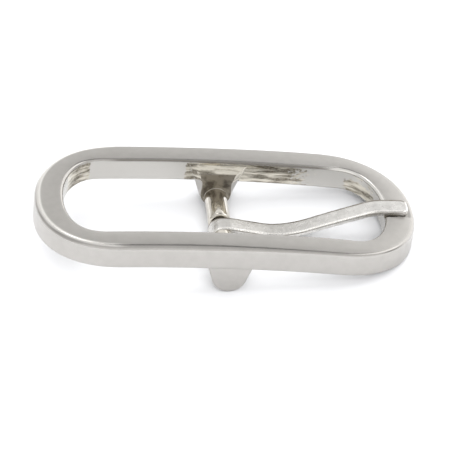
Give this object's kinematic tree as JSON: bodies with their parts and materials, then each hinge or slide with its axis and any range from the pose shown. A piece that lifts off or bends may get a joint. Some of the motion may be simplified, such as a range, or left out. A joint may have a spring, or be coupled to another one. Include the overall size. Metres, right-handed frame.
{
  "type": "belt buckle",
  "caption": "Long oval dress belt buckle: arched metal ring frame, dropped centre bar between two lugs, and a curved swinging prong resting on the frame's end.",
  "frame": {"origin": "under the middle of the frame, level with the tips of the lugs", "axes": "+X along the belt towards the prong's tip, +Y across the belt along the centre bar, +Z out of the face seen when worn"},
  "size_m": [0.0608, 0.0288, 0.0085],
  "materials": {
    "satin_nickel": "satin nickel plate over a casting, brighter on rounded edges, bright on the inner walls",
    "bright_nickel": "bright nickel plate with a warm tint",
    "peened_nickel": "satin nickel plate with a fine sparkling tumbled texture"
  },
  "bodies": {
    "frame": {"frame": "satin_nickel", "centre_bar": "bright_nickel"},
    "prong": {"prong": "peened_nickel"}
  },
  "joints": [
    {"name": "prong_swing", "type": "hinge", "parent": "frame", "child": "prong", "pos_m": [-0.0003, -0.0003, 0.00188], "axis": [0, -1, 0], "range_deg": [0, 154]}
  ]
}
